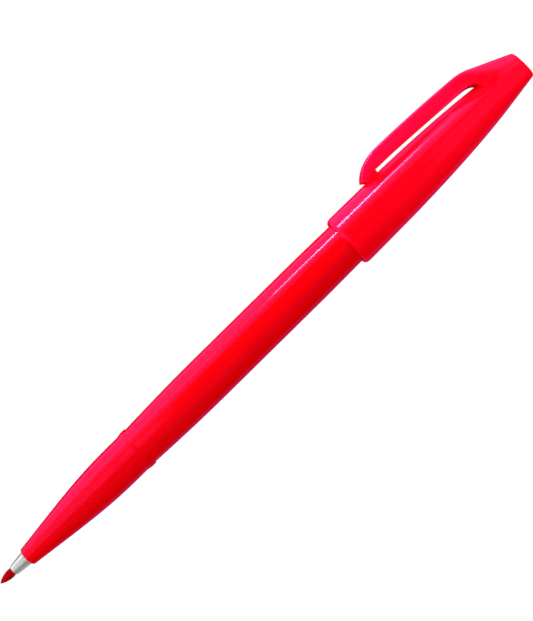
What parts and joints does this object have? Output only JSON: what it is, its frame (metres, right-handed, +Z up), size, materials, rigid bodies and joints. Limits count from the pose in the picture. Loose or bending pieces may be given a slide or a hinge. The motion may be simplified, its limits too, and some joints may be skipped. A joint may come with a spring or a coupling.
{
  "type": "brush pen",
  "caption": "Slim marker-style brush pen with a tapered grip, metal tip collar and bending fibre tip, its clipped cap pushed onto the tail.",
  "frame": {"origin": "the writing point: the very end of the fibre tip, on the pen's axis", "axes": "+X along the pen's axis from the tip to the cap's closed end, +Z up from the table that the pen lies on, and the clip leans from +Y down towards -Z until it touches the table"},
  "size_m": [0.147, 0.0152, 0.0116],
  "materials": {
    "tip_fibre": "ink-soaked fibre, slightly rough",
    "collar_metal": "satin, fine lines along the cone",
    "body_plastic": "glossy moulded",
    "cap_plastic": "glossy moulded",
    "ink_fibre": "ink-soaked fibre bundle",
    "clear_film": "thin clear film",
    "liner_plastic": "satin moulded"
  },
  "bodies": {
    "pen": {"barrel": "body_plastic", "grip_section": "body_plastic", "tip_collar": "collar_metal", "tip_stem": "tip_fibre", "tail_plug": "body_plastic", "ink_reservoir": "ink_fibre", "reservoir_film": "clear_film"},
    "tip": {"fibre_tip": "tip_fibre"},
    "cap": {"cap_shell": "cap_plastic", "inner_cap": "liner_plastic"},
    "clip": {"pocket_clip": "cap_plastic"}
  },
  "joints": [
    {"name": "cap_pull", "type": "slide", "parent": "pen", "child": "cap", "axis": [1, 0, 0], "range_m": [0, 0.04]},
    {"name": "clip_flex", "type": "hinge", "parent": "cap", "child": "clip", "pos_m": [0.1384, 0.00715, -0.00301], "axis": [0, -0.3884, -0.9215], "range_deg": [0, 5], "stiffness_Nm_per_rad": 1},
    {"name": "tip_flex", "type": "hinge", "parent": "pen", "child": "tip", "pos_m": [0.0037, 0, 0], "axis": [0, 0, 1], "range_deg": [-12, 12], "stiffness_Nm_per_rad": 0.004}
  ]
}
